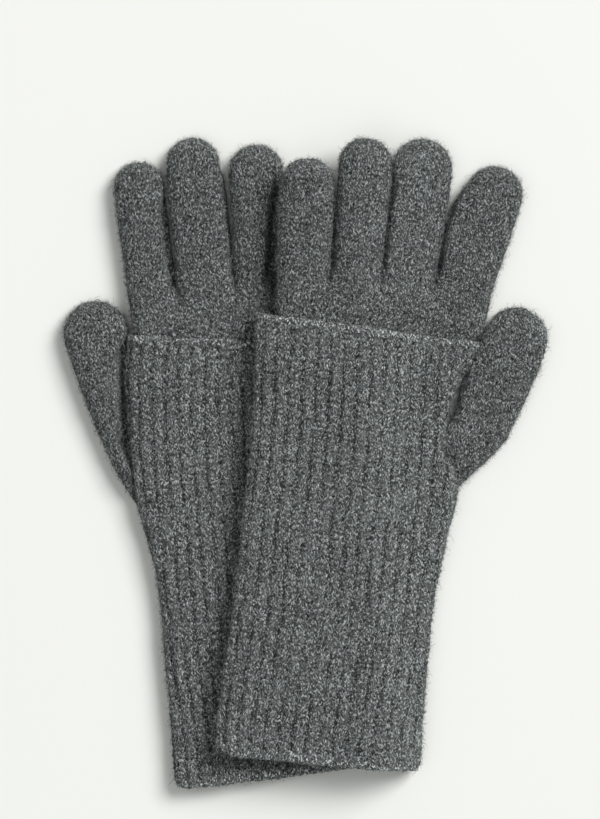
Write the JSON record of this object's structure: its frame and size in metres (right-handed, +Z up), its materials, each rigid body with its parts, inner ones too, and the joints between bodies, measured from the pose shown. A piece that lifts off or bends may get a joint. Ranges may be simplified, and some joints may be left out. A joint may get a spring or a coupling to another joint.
{
  "type": "knitted gloves",
  "caption": "Long brushed-wool knitted gloves with plain-knit fingers and a ribbed outer sleeve over the hand, lying flat, one partly over the other; every finger and thumb folds",
  "frame": {"origin": "centre of the bounding box of the pair, on the surface that it lies on", "axes": "+X to the right across the pair, from the left glove's thumb to the right glove's, +Y from the cuffs towards the fingertips, +Z up from the surface, out of the visible faces"},
  "size_m": [0.2158, 0.2878, 0.0254],
  "materials": {
    "plain_knit": "brushed dark grey melange wool, plain knit",
    "rib_knit": "brushed dark grey melange wool, rib knit",
    "bound_edge": "bound-off edge of the same yarn",
    "linking_yarn": "linking stitches of the same yarn"
  },
  "bodies": {
    "left_glove": {"left_hand": "plain_knit", "left_thumb_gusset": "plain_knit", "left_rib_sleeve": "rib_knit", "left_top_welt": "bound_edge", "left_cuff_hem": "bound_edge", "left_linking_seam": "linking_yarn"},
    "left_little_stall": {"left_little_finger": "plain_knit"},
    "left_ring_stall": {"left_ring_finger": "plain_knit"},
    "left_middle_stall": {"left_middle_finger": "plain_knit"},
    "left_index_stall": {"left_index_finger": "plain_knit"},
    "left_thumb_stall": {"left_thumb": "plain_knit"},
    "right_glove": {"right_hand": "plain_knit", "right_thumb_gusset": "plain_knit", "right_rib_sleeve": "rib_knit", "right_top_welt": "bound_edge", "right_cuff_hem": "bound_edge", "right_linking_seam": "linking_yarn"},
    "right_little_stall": {"right_little_finger": "plain_knit"},
    "right_ring_stall": {"right_ring_finger": "plain_knit"},
    "right_middle_stall": {"right_middle_finger": "plain_knit"},
    "right_index_stall": {"right_index_finger": "plain_knit"},
    "right_thumb_stall": {"right_thumb": "plain_knit"}
  },
  "joints": [
    {"name": "right_glove_lift", "type": "slide", "parent": "left_glove", "child": "right_glove", "axis": [0, 0, 1], "range_m": [0, 0.15]},
    {"name": "left_ring_flex", "type": "hinge", "parent": "left_glove", "child": "left_ring_stall", "pos_m": [-0.02085, 0.0788, 0.011], "axis": [0.9991, 0.0425, 0], "range_deg": [0, 90]},
    {"name": "left_middle_flex", "type": "hinge", "parent": "left_glove", "child": "left_middle_stall", "pos_m": [-0.04222, 0.07643, 0.011], "axis": [0.9933, 0.1157, 0], "range_deg": [0, 90]},
    {"name": "left_index_flex", "type": "hinge", "parent": "left_glove", "child": "left_index_stall", "pos_m": [-0.06665, 0.07163, 0.011], "axis": [0.9919, 0.1272, 0], "range_deg": [0, 90]},
    {"name": "left_thumb_flex", "type": "hinge", "parent": "left_glove", "child": "left_thumb_stall", "pos_m": [-0.0833, 0.00894, 0.011], "axis": [0.9745, 0.2244, 0], "range_deg": [0, 80]},
    {"name": "right_little_flex", "type": "hinge", "parent": "right_glove", "child": "right_little_stall", "pos_m": [0.00025, 0.08158, 0.0239], "axis": [0.9994, -0.0345, 0], "range_deg": [0, 90]},
    {"name": "right_ring_flex", "type": "hinge", "parent": "right_glove", "child": "right_ring_stall", "pos_m": [0.02305, 0.08265, 0.0239], "axis": [0.996, -0.0892, 0], "range_deg": [0, 90]},
    {"name": "right_middle_flex", "type": "hinge", "parent": "right_glove", "child": "right_middle_stall", "pos_m": [0.04604, 0.08144, 0.02129], "axis": [0.993, -0.1183, 0], "range_deg": [0, 90]},
    {"name": "right_index_flex", "type": "hinge", "parent": "right_glove", "child": "right_index_stall", "pos_m": [0.07024, 0.0771, 0.01148], "axis": [0.9398, -0.3416, 0], "range_deg": [0, 90]},
    {"name": "right_thumb_flex", "type": "hinge", "parent": "right_glove", "child": "right_thumb_stall", "pos_m": [0.07859, 0.01617, 0.011], "axis": [0.921, -0.3895, 0], "range_deg": [0, 80]},
    {"name": "left_little_splay", "type": "hinge", "parent": "left_glove", "child": "left_little_stall", "pos_m": [0.01222, 0.07652, 0.0055], "axis": [0, 0, -1], "range_deg": [0, 6]}
  ]
}
